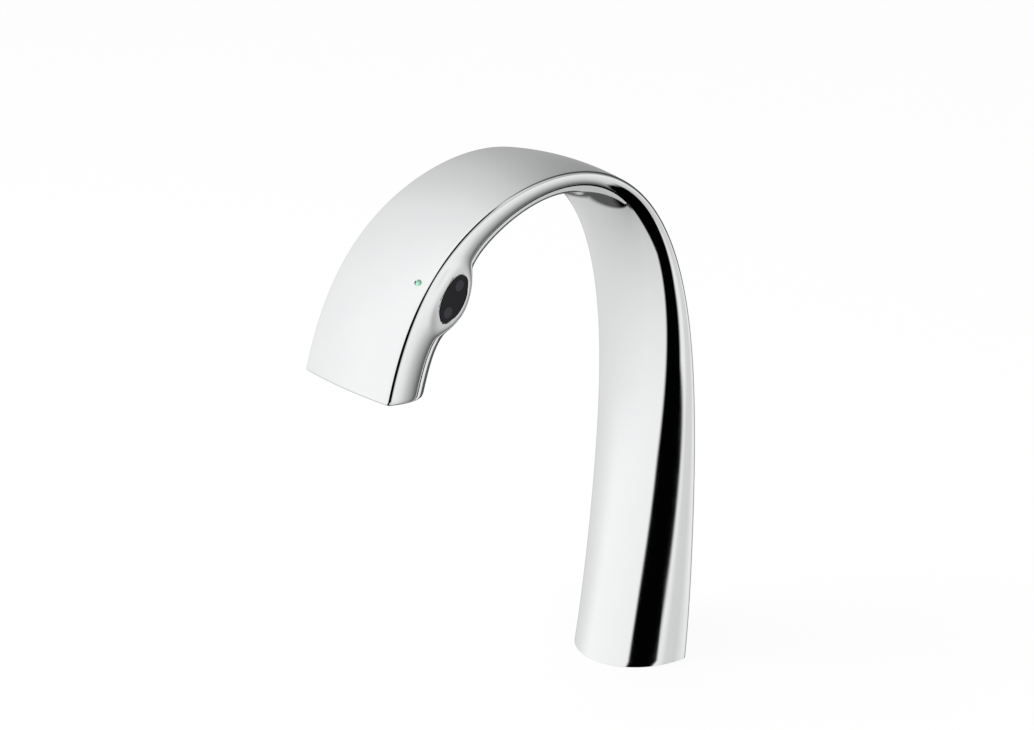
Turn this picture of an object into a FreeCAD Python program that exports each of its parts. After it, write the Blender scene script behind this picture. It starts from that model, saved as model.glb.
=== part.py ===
import FreeCAD, Part
import math
import os
from FreeCAD import Vector

# Deck-mounted sensor tap with a one-piece swan-neck spout.
# Millimetres. The origin is on the deck, on the shank's axis: +Z up, the spout reaches towards -Y,
# and the sensor window is on the +X side.

# Spout: its crown face follows one smooth spine curve from the deck to the outlet
arch_height = 270.0        # deck to the top of the arch
spout_reach = 167.3        # shank axis to the front edge of the outlet
base_width = 63.4
base_depth = 38.1          # spine plane to the front of the belly, at the deck
tip_width = 65.2
tip_depth = 35.3
neck_narrowing = 4.2       # how much the width law is drawn in before the tip
crown_rise = 2.35          # bow of the crown face across its width
wall = 2.4
outlet_tilt = -7.0         # degrees that the outlet plane is turned past square to the spine
cavity_end = 0.95          # share of the spine where the solid outlet block starts

# The spine's control polygon as parts of (reach, height), from the back of the base to the outlet.
# Its curve is stretched to the reach and to the height of the arch.
spine_shape = [(0.0, 0.0), (-0.057, 0.357), (0.024, 0.588), (-0.168, 1.004),
               (0.249, 1.159), (0.587, 0.951), (0.849, 1.024), (1.0, 0.665)]
column_depth_pull = 21.7   # control values of the belly's depth between base and tip
neck_depth_pull = 10.2
arch_depth_pull = -3.2
spout_depth_pull = 32.7

# Cross-section: crown face, a flat strip beside each sharp edge, and a full belly between them
belly_power = 2.22         # 2 would be an ellipse, more is squarer
belly_fullness = 0.61      # handle length of the belly's curve
base_strip = 17.0          # width of the flat strip at the deck
edge_strip = 2.5           # and along the arch and the spout
strip_ends = 0.42          # share of the spine where the strip reaches its narrow width

# Sensor window in the +X side of the spout, and the swelling that carries it
window_at = 0.889          # share of the spine
window_depth = 17.6        # spine plane to the window's centre
window_inset = 1.9         # side edge to the window's plane
window_turn = 10.0         # degrees that the window faces towards the column
window_length = 23.0
window_height = 15.0
window_rim = 1.5           # metal rim round the lens
lens_thickness = 2.0
seal_thickness = 0.5
window_ledge = 1.2
boss_depth = 8.0           # window plane to the back of the boss that takes the module
swell_length = 0.042       # share of the spine over which the swelling fades
swell_depth = 2.5
swell_fullness = 0.30

# Sensor module behind the window, as long and high as the boss it is screwed to
module_depth = 9.0
module_wall = 1.5
chamber_length = 20.0
chamber_height = 14.0
nose_wall = 1.0
cover_thickness = 1.5
board_thickness = 1.2
eye_radius = 2.0
eye_spacing = 13.2
baffle_thickness = 1.2
module_screw_radius = 0.8
lead_shift = -4.5          # the lead enters beside the end screw
lead_stop = 8.0            # module's middle to the end of the lead

# Green indicator in the crown face
indicator_at = 0.896
indicator_side = 25.0
pipe_radius = 1.5
pipe_length = 4.0
led_length = 3.0
holder_wall = 1.4

# Aerator, measured inwards from the outlet plane along the outlet's axis
outlet_radius = 12.0
outlet_bore_depth = 12.0
waterway_radius = 6.0
aerator_recess = 0.6
aerator_wall = 1.8
aerator_lip = 1.2
aerator_lip_width = 0.9
grid_thickness = 2.4
screen_thickness = 0.5
diffuser_thickness = 1.6
regulator_thickness = 2.0
stack_gap = 0.1
key_slots = 6
key_slot_width = 2.2
key_slot_depth = 2.0
cell_pitch = 2.9           # honeycomb of the outlet grid
cell_across = 2.3
screen_pitch = 2.0
screen_slot = 1.0
jets = 12
jet_radius = 0.6
jet_circle = 6.5
meters = 8                 # metering holes behind the regulator's ring
meter_radius = 0.7
ring_seat = 4.2            # the ring's middle radius
ring_section = 0.8
insert_web = 0.6           # least web at the rim of an insert
aerator_washer_thickness = 1.5
aerator_washer_bore = 7.5

# Water tube and sensor lead, which share their stations along the spine
tube_radius = 4.0
tube_bore = 2.75
tube_side = -5.0
lead_radius = 1.75
lead_side = 7.0
stations = [0.14, 0.22, 0.30, 0.37, 0.43, 0.49, 0.55, 0.61, 0.67, 0.73, 0.79]
last_tube_station = 0.86
clip_runs = [0, 2, 9]      # the runs between stations that carry a clip
clip_width = 2.4
clip_wall = 1.1
tail_wall = 0.7
adapter_tail = 8.0
adapter_grip = 7.0         # how far the tube is pushed over a tail
adapter_collar = 2.0       # length of its wide part past the waterway
adapter_key = 5.0          # hexagon socket across flats
adapter_key_depth = 3.0
oring_section = 0.7
oring_inset = 4.0          # from the adapter's outer end
ferrule_wall = 0.7
ferrule_length = 6.0

# Base plate, gasket and shank
gasket_thickness = 2.0
gasket_width = 3.5
plate_thickness = 10.0
shank_radius = 13.2        # G 3/4 thread, drawn as a plain cylinder
shank_bore = 10.0
shank_drop = 60.0
shank_grip = 10.0
plate_screw_side = 21.5
plate_screw_back = 9.5
plate_screw_radius = 2.0
plate_screw_head = 3.9     # radius of the countersunk head
plate_screw_length = 18.0
plate_screw_key = 2.5      # hexagon socket across flats
plate_screw_key_depth = 1.3
screw_boss_radius = 5.5
screw_boss_height = 22.0

# Clamp set under the deck, drawn run down to the thickest deck
deck_limit = 36.0
clamp_washer_radius = 25.0
rubber_washer_thickness = 3.0
steel_washer_thickness = 2.0
nut_across_flats = 36.0
nut_height = 10.0
nut_collar_radius = 19.5
nut_collar_height = 2.0

# Shank plug, inlet nipple and lead grommet at the shank's lower end
plug_height = 11.0
plug_flange = 3.0
plug_flange_radius = 12.9
inlet_side = -4.0
nipple_stem_radius = 5.0
nipple_neck = 2.0
nipple_hex = 13.0          # across flats
nipple_hex_height = 6.0
inlet_radius = 8.33        # G 3/8 thread, drawn as a plain cylinder
inlet_length = 13.0
inlet_bore = 3.0
grommet_side = 6.8
grommet_radius = 2.6
grommet_flange = 3.3
grommet_flange_height = 1.5

# Clearances
fit_clearance = 0.05       # between seated or running round faces
slide_clearance = 0.3      # washers on the shank, gasket in the body
casting_clearance = 0.15   # base plate in the cast cavity

X = Vector(1, 0, 0)
Z = Vector(0, 0, 1)
ZERO = Vector(0, 0, 0)

nodes = {}


# Spine and section laws

def law(values, t):
    """A smooth law with these control values, at share t of the spine."""
    n = len(values) - 1
    return sum(math.comb(n, i) * v * t ** i * (1 - t) ** (n - i) for i, v in enumerate(values))


back_of_base = (base_depth - crown_rise) / 2
full_reach = spout_reach - crown_rise + back_of_base
top_of_curve = max(law([b for _, b in spine_shape], i / 500) for i in range(501))
rise = (arch_height - crown_rise) / top_of_curve
spine = Part.BezierCurve()
spine.setPoles([Vector(0, back_of_base - full_reach * a, rise * b) for a, b in spine_shape])
spine_start = spine.tangent(0.0)[0]
start_lean = math.atan2(spine_start.y, spine_start.z)
base_blend = 0.12
tip_blend = 0.9


def station(t):
    """Point of the spine, direction along it and direction out through the crown."""
    slope = spine.tangent(t)[0]
    lean = math.atan2(slope.y, slope.z)
    lean -= start_lean * max(0.0, 1 - t / base_blend) ** 2
    lean += math.radians(outlet_tilt) * max(0.0, (t - tip_blend) / (1 - tip_blend)) ** 2
    along = Vector(0, math.sin(lean), math.cos(lean))
    return spine.value(t), along, Vector(0, along.z, -along.y)


def share_at_height(height):
    """Share of the spine at which its rising part passes this height."""
    low, high = 0.0, 0.3
    for _ in range(40):
        middle = (low + high) / 2
        if spine.value(middle).z < height:
            low = middle
        else:
            high = middle
    return high


def swell(t):
    return math.exp(-((t - window_at) / swell_length) ** 2)


def half_width(t):
    return law([base_width, base_width - 0.4, tip_width - neck_narrowing, tip_width], t) / 2


def belly_depth(t):
    pulls = [base_depth, column_depth_pull, neck_depth_pull, arch_depth_pull, spout_depth_pull, tip_depth]
    return law(pulls, t) + swell_depth * swell(t)


def strip_width(t):
    q = min(1.0, t / strip_ends)
    return edge_strip + (base_strip - edge_strip) * (1 - q) ** 2 * (1 + 2 * q)


def at(t, side, depth):
    """Point at this distance to the side and this depth below the spine, in the section plane at t."""
    point, _, out = station(t)
    return point + X * side - out * depth


def bezier_edge(points):
    curve = Part.BezierCurve()
    curve.setPoles(points)
    return curve.toShape()


def outer_section(t):
    """Closed outline of the body at t: crown, strip, belly, belly, strip."""
    half = half_width(t)
    deep = belly_depth(t)
    flat = strip_width(t)
    level = (1 - (flat / deep) ** belly_power) ** (1 / belly_power)
    fall = (half / deep) * (flat / deep / level) ** (belly_power - 1)
    right, left = at(t, half, 0), at(t, -half, 0)
    edges = [Part.Arc(right, at(t, 0, -crown_rise), left).toShape()]
    bellies = []
    for side, squarer in ((-1, 0.0), (1, swell(t))):
        full = belly_fullness + swell_fullness * squarer
        corner = half * level - fall * (1 - 0.5 * squarer) * (deep - flat)
        start = at(t, side * half * level, flat)
        upper = at(t, side * (half * level + full * (corner - half * level)), flat + full * (deep - flat))
        lower = at(t, side * full * corner, deep)
        bellies.append([start, upper, lower, at(t, 0, deep)])
    edges.append(Part.LineSegment(left, bellies[0][0]).toShape())
    edges.append(bezier_edge(bellies[0]))
    edges.append(bezier_edge(bellies[1][::-1]))
    edges.append(Part.LineSegment(bellies[1][0], right).toShape())
    return Part.Wire(edges)


def inner_section(t, gap):
    """Outline that lies inside the body's by this gap: crown and belly only."""
    half = half_width(t) - 1.3 * gap
    deep = belly_depth(t) - gap
    right, left = at(t, half, gap), at(t, -half, gap)
    edges = [Part.Arc(right, at(t, 0, gap - crown_rise), left).toShape()]
    for side, squarer in ((-1, 0.0), (1, swell(t))):
        full = belly_fullness - 0.02 + swell_fullness * squarer
        quarter = [at(t, side * half, gap), at(t, side * half, gap + full * (deep - gap)),
                   at(t, side * full * half, deep), at(t, 0, deep)]
        edges.append(bezier_edge(quarter if side < 0 else quarter[::-1]))
    return Part.Wire(edges)


def spread(first, last, count):
    return [first + (last - first) * i / (count - 1) for i in range(count)]


# Small shape helpers

def placed(shape, origin, x_axis, z_axis):
    """Copy of a shape drawn about the origin, moved to a place whose own X and Z axes are given."""
    turn = FreeCAD.Rotation(x_axis, z_axis.cross(x_axis), z_axis, "ZXY")
    copy = shape.copy()
    copy.Placement = FreeCAD.Placement(origin, turn)
    return copy


def disc(radius, low, high, x=0.0, y=0.0):
    return Part.makeCylinder(radius, high - low, Vector(x, y, low))


def ring(outer, inner, low, high, x=0.0, y=0.0):
    return disc(outer, low, high, x, y).cut(disc(inner, low, high, x, y))


def oval(length, height, low, high):
    """Elliptical plate, its length along X."""
    outline = Part.Ellipse(Vector(0, 0, low), length / 2, height / 2).toShape()
    return Part.Face(Part.Wire([outline])).extrude(Z * (high - low))


def block(length, width, low, high, x=0.0, y=0.0):
    return Part.makeBox(length, width, high - low, Vector(x - length / 2, y - width / 2, low))


def hexagon(across_flats, low, high, x=0.0, y=0.0):
    corner = across_flats / math.sqrt(3)
    turns = [math.radians(60 * i) for i in range(7)]
    points = [Vector(x + corner * math.cos(a), y + corner * math.sin(a), low) for a in turns]
    return Part.Face(Part.makePolygon(points)).extrude(Z * (high - low))


def bent_wire(points):
    """Straight runs joined by tangent arcs, each as large as its two runs allow."""
    edges = []
    reached = points[0]
    for before, corner, after in zip(points, points[1:], points[2:]):
        to_corner = (corner - before).normalize()
        from_corner = (after - corner).normalize()
        turn = to_corner.getAngle(from_corner)
        cut_back = 0.45 * min((corner - before).Length, (after - corner).Length)
        start = corner - to_corner * cut_back
        end = corner + from_corner * cut_back
        inward = (from_corner - to_corner).normalize()
        radius = cut_back / math.tan(turn / 2)
        middle = corner + inward * (radius / math.cos(turn / 2) - radius)
        edges.append(Part.LineSegment(reached, start).toShape())
        edges.append(Part.Arc(start, middle, end).toShape())
        reached = end
        bend_radii.append(round(radius))
    edges.append(Part.LineSegment(reached, points[-1]).toShape())
    return Part.Wire(edges)


def swept(points, radius):
    path = bent_wire(points)
    profile = Part.Wire([Part.Circle(points[0], points[1] - points[0], radius).toShape()])
    solid = path.makePipeShell([profile], True, True)
    expected = math.pi * radius ** 2 * path.Length
    print("tube volume over section times length:", round(solid.Volume / expected, 4))
    return solid


bend_radii = []

# Outlet axis: the outlet plane's centre, its direction out of the spout and its frame
outlet_out = station(1.0)[1]
outlet_depth = tip_depth / 2
outlet_centre = at(1.0, 0, outlet_depth)
block_point, block_along, _ = station(cavity_end)
block_depth = (outlet_centre - block_point).dot(block_along) / outlet_out.dot(block_along)

# Window frame: X along the spine, Z out through the lens
_, window_along, window_crown = station(window_at)
window_out = X * math.cos(math.radians(window_turn)) - window_crown * math.sin(math.radians(window_turn))
window_centre = at(window_at, half_width(window_at) - window_inset, window_depth)


def in_window(shape):
    return placed(shape, window_centre, window_along, window_out)


def in_outlet(shape):
    return placed(shape, outlet_centre, X, outlet_out)


# Indicator frame: Z out through the crown
indicator_crown = crown_rise * (1 - (indicator_side / half_width(indicator_at)) ** 2)
indicator_point = at(indicator_at, indicator_side, -indicator_crown)
_, indicator_along, indicator_out = station(indicator_at)


def in_crown(shape):
    return placed(shape, indicator_point, indicator_along, indicator_out)


boss_length = window_length + 2 * window_rim
boss_height = window_height + 2 * window_rim
seat_length = window_length - 2 * window_ledge
seat_height = window_height - 2 * window_ledge
screw_at = (seat_length + boss_length) / 4
plate_low = gasket_thickness
plate_high = gasket_thickness + plate_thickness
boss_top = plate_high + screw_boss_height


def screw_boss(side):
    """Boss for a base plate screw, run into the back wall."""
    x = side * plate_screw_side
    boss = disc(screw_boss_radius, plate_high, boss_top, x, plate_screw_back)
    reach = base_depth / 2
    rib = block(2 * screw_boss_radius, reach, plate_high, boss_top, x, plate_screw_back + reach / 2)
    return boss.fuse(rib)


def spout_body():
    """Cast shell: swept crown and belly, solid outlet block, window boss and screw bosses."""
    shares = spread(0.0, 0.80, 21) + spread(0.82, 0.98, 9) + [1.0]
    outer = Part.makeLoft([outer_section(t) for t in shares], True)
    inner_shares = spread(0.0, 0.80, 17) + spread(0.82, cavity_end, 6)
    cavity = Part.makeLoft([inner_section(t, wall) for t in inner_shares], True)
    body = outer.cut(cavity)
    body = body.fuse([screw_boss(side).common(outer) for side in (-1, 1)])
    body = body.fuse(in_window(oval(boss_length, boss_height, -boss_depth, 0)))
    above = boss_depth
    body = body.cut(in_window(oval(boss_length, boss_height, 0, above)))
    seat = lens_thickness + seal_thickness
    body = body.cut(in_window(oval(window_length, window_height, -seat, above)))
    body = body.cut(in_window(oval(seat_length, seat_height, -boss_depth, 0)))
    pilot = module_screw_radius
    for side in (-1, 1):
        body = body.cut(in_window(disc(pilot, -boss_depth, -seat - 0.8, side * screw_at)))
        body = body.cut(disc(plate_screw_radius, plate_high, plate_low + plate_screw_length + 2,
                             side * plate_screw_side, plate_screw_back))
    body = body.cut(in_outlet(disc(outlet_radius, -outlet_bore_depth, 1)))
    body = body.cut(in_outlet(disc(waterway_radius, -block_depth - waterway_radius, -outlet_bore_depth)))
    body = body.cut(in_crown(disc(pipe_radius + fit_clearance, -2 * wall, 1)))
    return body.removeSplitter()


nodes["spout_body"] = spout_body()


# Base plate, gasket, screws and shank

def base_slice(low, high, gap):
    """The part of the body's cavity between two heights, drawn in by a gap."""
    shares = spread(0.0, share_at_height(high + 10), 5)
    core = Part.makeLoft([inner_section(t, gap) for t in shares], True)
    return core.common(block(2 * base_width, 2 * base_depth, low, high))


def base_plate():
    plate = base_slice(plate_low, plate_high, wall + casting_clearance)
    plate = plate.cut(disc(shank_radius + fit_clearance, 0, boss_top))
    for side in (-1, 1):
        x, y = side * plate_screw_side, plate_screw_back
        plate = plate.cut(disc(plate_screw_radius + fit_clearance, 0, boss_top, x, y))
        plate = plate.cut(screw_cone(x, y, fit_clearance))
    return plate


def screw_cone(x, y, gap=0.0):
    height = plate_screw_head - plate_screw_radius
    return Part.makeCone(plate_screw_head + gap, plate_screw_radius + gap, height, Vector(x, y, plate_low))


def plate_screw(side):
    x, y = side * plate_screw_side, plate_screw_back
    body = disc(plate_screw_radius - fit_clearance, plate_low, plate_low + plate_screw_length, x, y)
    key = hexagon(plate_screw_key, plate_low, plate_low + plate_screw_key_depth, x, y)
    return screw_cone(x, y).fuse(body).cut(key)


def base_gasket():
    sheet = base_slice(0, gasket_thickness, wall + slide_clearance)
    return sheet.cut(base_slice(0, gasket_thickness, wall + slide_clearance + gasket_width))


nodes["base_plate"] = base_plate()
nodes["plate_screws"] = Part.makeCompound([plate_screw(side) for side in (-1, 1)])
nodes["base_gasket"] = base_gasket()
nodes["threaded_shank"] = ring(shank_radius, shank_bore, -shank_drop, plate_low + shank_grip)

# Clamp set: the washers slide on the shank and the nut turns up against them
rubber_low = -deck_limit - rubber_washer_thickness
steel_low = rubber_low - steel_washer_thickness
nut_low = steel_low - nut_height
washer_bore = shank_radius + slide_clearance
nodes["rubber_washer"] = ring(clamp_washer_radius, washer_bore, rubber_low, -deck_limit)
nodes["steel_washer"] = ring(clamp_washer_radius, washer_bore, steel_low, rubber_low)


def mounting_nut():
    body = hexagon(nut_across_flats, nut_low, steel_low - nut_collar_height)
    inscribed = nut_across_flats / 2
    chamfer = Part.makeCone(inscribed, inscribed + nut_height, nut_height, Vector(0, 0, nut_low))
    body = body.common(chamfer)
    body = body.fuse(disc(nut_collar_radius, steel_low - nut_collar_height, steel_low))
    return body.cut(disc(shank_radius + fit_clearance, nut_low, steel_low))


nodes["mounting_nut"] = mounting_nut()

# Shank plug with the inlet nipple and the lead's grommet
plug_low = -shank_drop - plug_flange
plug_top = -shank_drop + plug_height


def shank_plug():
    plug = disc(shank_bore - fit_clearance, -shank_drop, plug_top)
    plug = plug.fuse(disc(plug_flange_radius, plug_low, -shank_drop))
    plug = plug.cut(disc(nipple_stem_radius + fit_clearance, plug_low, plug_top, inlet_side))
    return plug.cut(disc(grommet_radius, plug_low, plug_top, grommet_side))


grommet_low = plug_low - grommet_flange_height
tail_radius = tube_bore - fit_clearance
stem_top = plug_top + 2.0
tail_top = stem_top + adapter_tail
hex_top = plug_low - nipple_neck
hex_low = hex_top - nipple_hex_height
inlet_end = hex_low - inlet_length


def inlet_nipple():
    body = disc(nipple_stem_radius, hex_top, stem_top, inlet_side)
    body = body.fuse(disc(tail_radius, stem_top, tail_top, inlet_side))
    body = body.fuse(hexagon(nipple_hex, hex_low, hex_top, inlet_side))
    body = body.fuse(disc(inlet_radius, inlet_end, hex_low, inlet_side))
    body = body.cut(disc(inlet_bore, inlet_end, stem_top - 2, inlet_side))
    return body.cut(disc(tail_radius - tail_wall, stem_top - 2, tail_top, inlet_side))


def lead_grommet():
    body = disc(grommet_radius - fit_clearance, plug_low, plug_top, grommet_side)
    body = body.fuse(disc(grommet_flange, grommet_low, plug_low, grommet_side))
    return body.cut(disc(lead_radius + fit_clearance, grommet_low, plug_top, grommet_side))


nodes["shank_plug"] = shank_plug()
nodes["inlet_nipple"] = inlet_nipple()
nodes["lead_grommet"] = lead_grommet()


# Outlet adapter and aerator cartridge, drawn with Z out of the spout
adapter_wide = block_depth + adapter_collar
adapter_top = -outlet_bore_depth - 1.0
tail_end = -adapter_wide - adapter_tail
tube_end = -adapter_wide - adapter_tail + adapter_grip
oring_level = adapter_top - oring_inset


def outlet_adapter():
    body = disc(waterway_radius - fit_clearance, -adapter_wide, adapter_top)
    reach = oring_section + 2 * fit_clearance
    groove = ring(waterway_radius, waterway_radius - 2 * oring_section, oring_level - reach, oring_level + reach)
    body = body.cut(groove).fuse(disc(tail_radius, tail_end, -adapter_wide))
    body = body.cut(hexagon(adapter_key, adapter_top - adapter_key_depth, adapter_top))
    return body.cut(disc(tail_radius - tail_wall, tail_end, adapter_top))


def adapter_oring():
    section = oring_section - fit_clearance / 2
    return Part.makeTorus(waterway_radius - oring_section, section, Vector(0, 0, oring_level))


aerator_radius = outlet_radius - fit_clearance
cup_radius = aerator_radius - aerator_wall
washer_low = -outlet_bore_depth + aerator_washer_thickness
lip_top = -aerator_recess - aerator_lip
grid_top = lip_top - grid_thickness
screens_top = grid_top - 2 * (stack_gap + screen_thickness)
diffuser_top = screens_top - stack_gap - diffuser_thickness
regulator_top = diffuser_top - stack_gap - regulator_thickness
insert_radius = cup_radius - fit_clearance


def aerator_housing():
    body = ring(aerator_radius, cup_radius, washer_low, -aerator_recess)
    body = body.fuse(ring(aerator_radius, cup_radius - aerator_lip_width, lip_top, -aerator_recess))
    slot = block(key_slot_depth, key_slot_width, lip_top, -aerator_recess, aerator_radius - key_slot_depth / 3)
    for i in range(key_slots):
        turned = slot.copy()
        turned.rotate(ZERO, Z, 360.0 * i / key_slots)
        body = body.cut(turned)
    return body


def outlet_grid():
    """Honeycomb plate: rings of hexagonal holes about a central one."""
    body = disc(insert_radius, grid_top, lip_top)
    for ring_number in range(4):
        for i in range(max(1, 6 * ring_number)):
            side, along = divmod(i, max(1, ring_number))
            start = math.radians(60 * side)
            end = math.radians(60 * side + 120)
            x = cell_pitch * (ring_number * math.cos(start) + along * math.cos(end))
            y = cell_pitch * (ring_number * math.sin(start) + along * math.sin(end))
            if math.hypot(x, y) + cell_across / 2 < insert_radius - insert_web:
                cell = hexagon(cell_across, grid_top, lip_top)
                cell.rotate(ZERO, Z, 30)
                cell.translate(Vector(x, y, 0))
                body = body.cut(cell)
    return body


def mixing_screen(top, turn):
    """Thin disc with parallel slots; the second one lies across the first."""
    body = disc(insert_radius, top, top + screen_thickness)
    clear = insert_radius - 2 * insert_web
    each_side = int((clear - screen_slot) / screen_pitch)
    for i in range(-each_side, each_side + 1):
        length = 2 * math.sqrt(clear ** 2 - (abs(i) * screen_pitch + screen_slot / 2) ** 2)
        body = body.cut(block(screen_slot, length, top, top + screen_thickness, i * screen_pitch))
    body.rotate(ZERO, Z, turn)
    return body


def diffuser():
    """Dished disc with a circle of jets."""
    low, high = diffuser_top, diffuser_top + diffuser_thickness
    body = disc(insert_radius, low, high)
    body = body.cut(disc(insert_radius - 2 * insert_web, low, low + diffuser_thickness / 3))
    return body.cut(circle_of_holes(jets, jet_circle, jet_radius, low, high))


def circle_of_holes(count, circle, radius, low, high):
    turns = [2 * math.pi * i / count for i in range(count)]
    return Part.makeCompound([disc(radius, low, high, circle * math.cos(a), circle * math.sin(a)) for a in turns])


meter_circle = ring_seat + ring_section


def flow_regulator():
    """Disc with a seat for the rubber ring, and metering holes behind the ring."""
    low, high = regulator_top, regulator_top + regulator_thickness
    body = disc(insert_radius, low, high)
    seat_floor = high - insert_web
    seat_outer = meter_circle + meter_radius + insert_web / 2
    body = body.cut(ring(seat_outer, ring_seat - ring_section - fit_clearance, low, seat_floor))
    return body.cut(circle_of_holes(meters, meter_circle, meter_radius, low, high))


def regulator_ring():
    level = regulator_top + regulator_thickness - insert_web - ring_section - fit_clearance
    return Part.makeTorus(ring_seat, ring_section, Vector(0, 0, level))


nodes["outlet_adapter"] = in_outlet(outlet_adapter())
nodes["adapter_oring"] = in_outlet(adapter_oring())
washer = ring(aerator_radius - fit_clearance, aerator_washer_bore, -outlet_bore_depth, washer_low)
nodes["aerator_washer"] = in_outlet(washer)
nodes["aerator_housing"] = in_outlet(aerator_housing())
nodes["outlet_grid"] = in_outlet(outlet_grid())
first_screen = grid_top - stack_gap - screen_thickness
second_screen = first_screen - stack_gap - screen_thickness
nodes["mixing_screens"] = Part.makeCompound([in_outlet(mixing_screen(first_screen, 0)),
                                             in_outlet(mixing_screen(second_screen, 90))])
nodes["diffuser"] = in_outlet(diffuser())
nodes["flow_regulator"] = in_outlet(flow_regulator())
nodes["regulator_ring"] = in_outlet(regulator_ring())

# Sensor window and module, drawn with X along the spout and Z out through the lens
lens_back = -lens_thickness
seat_level = -lens_thickness - seal_thickness
module_back = -boss_depth - module_depth
nose_length = seat_length - 2 * fit_clearance
nose_height = seat_height - 2 * fit_clearance
board_level = module_back + 3.0
lead_level = board_level + 2.5


def sensor_window():
    lens = oval(window_length - 2 * fit_clearance, window_height - 2 * fit_clearance, lens_back, 0)
    return lens


def window_seal():
    outer = oval(window_length - 2 * fit_clearance, window_height - 2 * fit_clearance, seat_level, lens_back)
    return outer.cut(oval(seat_length, seat_height, seat_level, lens_back))


def sensor_housing():
    body = oval(boss_length, boss_height, module_back, -boss_depth)
    body = body.fuse(oval(nose_length, nose_height, -boss_depth, seat_level))
    body = body.cut(oval(chamber_length, chamber_height, module_back, -boss_depth - module_wall))
    body = body.cut(oval(nose_length - 2 * nose_wall, nose_height - 2 * nose_wall, module_back, seat_level))
    entry = Vector(-boss_length / 2, lead_shift, lead_level)
    body = body.cut(Part.makeCylinder(lead_radius + fit_clearance, boss_length / 2 - lead_stop + 1, entry, X))
    for side in (-1, 1):
        body = body.cut(disc(module_screw_radius + 0.2, module_back, -boss_depth, side * screw_at))
    return body


def housing_cover():
    body = oval(boss_length, boss_height, module_back - cover_thickness, module_back)
    body = body.fuse(oval(chamber_length - 0.4, chamber_height - 0.4, module_back, module_back + 1.0))
    for side in (-1, 1):
        hole = disc(module_screw_radius + 0.2, module_back - cover_thickness, module_back, side * screw_at)
        body = body.cut(hole)
    return body


def module_screw(side):
    low = module_back - cover_thickness
    head = disc(2 * module_screw_radius, low - 1.2, low, side * screw_at)
    shaft = disc(module_screw_radius - fit_clearance, low, seat_level - 1.2, side * screw_at)
    return head.fuse(shaft)


def circuit_board():
    return oval(chamber_length - 0.6, chamber_height - 0.6, board_level - board_thickness, board_level)


def eye(side):
    """Infrared diode: a collar on the board and a domed body that looks through the lens."""
    x = side * eye_spacing / 2
    tip = seat_level - 0.6
    body = disc(eye_radius, board_level, tip - eye_radius, x)
    body = body.fuse(Part.makeSphere(eye_radius, Vector(x, 0, tip - eye_radius)))
    return body.fuse(disc(eye_radius + 0.4, board_level, board_level + 1.0, x))


def light_baffle():
    return block(baffle_thickness, nose_height - 2 * nose_wall - 0.6, board_level, seat_level - 0.3)


nodes["sensor_window"] = in_window(sensor_window())
nodes["window_seal"] = in_window(window_seal())
nodes["sensor_housing"] = in_window(sensor_housing())
nodes["housing_cover"] = in_window(housing_cover())
nodes["module_screws"] = Part.makeCompound([in_window(module_screw(side)) for side in (-1, 1)])
nodes["circuit_board"] = in_window(circuit_board())
nodes["ir_emitter"] = in_window(eye(-1))
nodes["ir_receiver"] = in_window(eye(1))
nodes["light_baffle"] = in_window(light_baffle())

# Indicator: a light pipe through the crown, with its diode in a holder on the inside
nodes["light_pipe"] = in_crown(disc(pipe_radius, -pipe_length, 0))
led = disc(pipe_radius - 0.1, -pipe_length - led_length, -pipe_length - pipe_radius)
led = led.fuse(Part.makeSphere(pipe_radius - 0.1, Vector(0, 0, -pipe_length - pipe_radius)))
nodes["indicator_led"] = in_crown(led)
holder_top = -wall - 1.0
holder_low = -pipe_length - led_length + 0.5
holder = ring(pipe_radius + holder_wall, pipe_radius + fit_clearance, holder_low, holder_top)
nodes["led_holder"] = in_crown(holder)

# Water tube and sensor lead: both rise through the shank and follow the cavity's middle


def middle(t, side):
    return at(t, side, (belly_depth(t) - crown_rise) / 2)


def from_outlet(inwards, side=0.0):
    return outlet_centre - outlet_out * inwards + X * side


tube_start = Vector(inlet_side, 0, stem_top + adapter_tail - adapter_grip)
tube_finish = from_outlet(-tube_end)
tube_points = [tube_start, Vector(inlet_side, 0, plate_high + 8)]
tube_points += [middle(t, tube_side) for t in stations]
tube_points += [middle(last_tube_station, tube_side * 0.6)]
tube_points += [from_outlet(-tube_end + 2 * adapter_grip + 1), tube_finish]
nodes["water_tube"] = swept(tube_points, tube_radius).cut(swept(tube_points, tube_bore))

lead_start = Vector(grommet_side, 0, grommet_low)
lead_finish = in_window(Part.Vertex(Vector(-lead_stop, lead_shift, lead_level))).Point
lead_turn = in_window(Part.Vertex(Vector(-boss_length / 2 - 14, lead_shift, lead_level))).Point
lead_points = [lead_start, Vector(grommet_side, 0, plate_high + 8)]
lead_points += [middle(t, lead_side) for t in stations]
lead_points += [lead_turn, lead_finish]
nodes["sensor_lead"] = swept(lead_points, lead_radius)
print("bend radii:", bend_radii)


def ferrule(end, inwards):
    direction = (inwards - end).normalize()
    outer = Part.makeCylinder(tube_radius + ferrule_wall, ferrule_length, end, direction)
    return outer.cut(Part.makeCylinder(tube_radius + fit_clearance, ferrule_length, end, direction))


ferrules = [ferrule(tube_start, tube_points[1]), ferrule(tube_finish, tube_points[-2])]
nodes["tube_ferrules"] = Part.makeCompound(ferrules)


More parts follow.
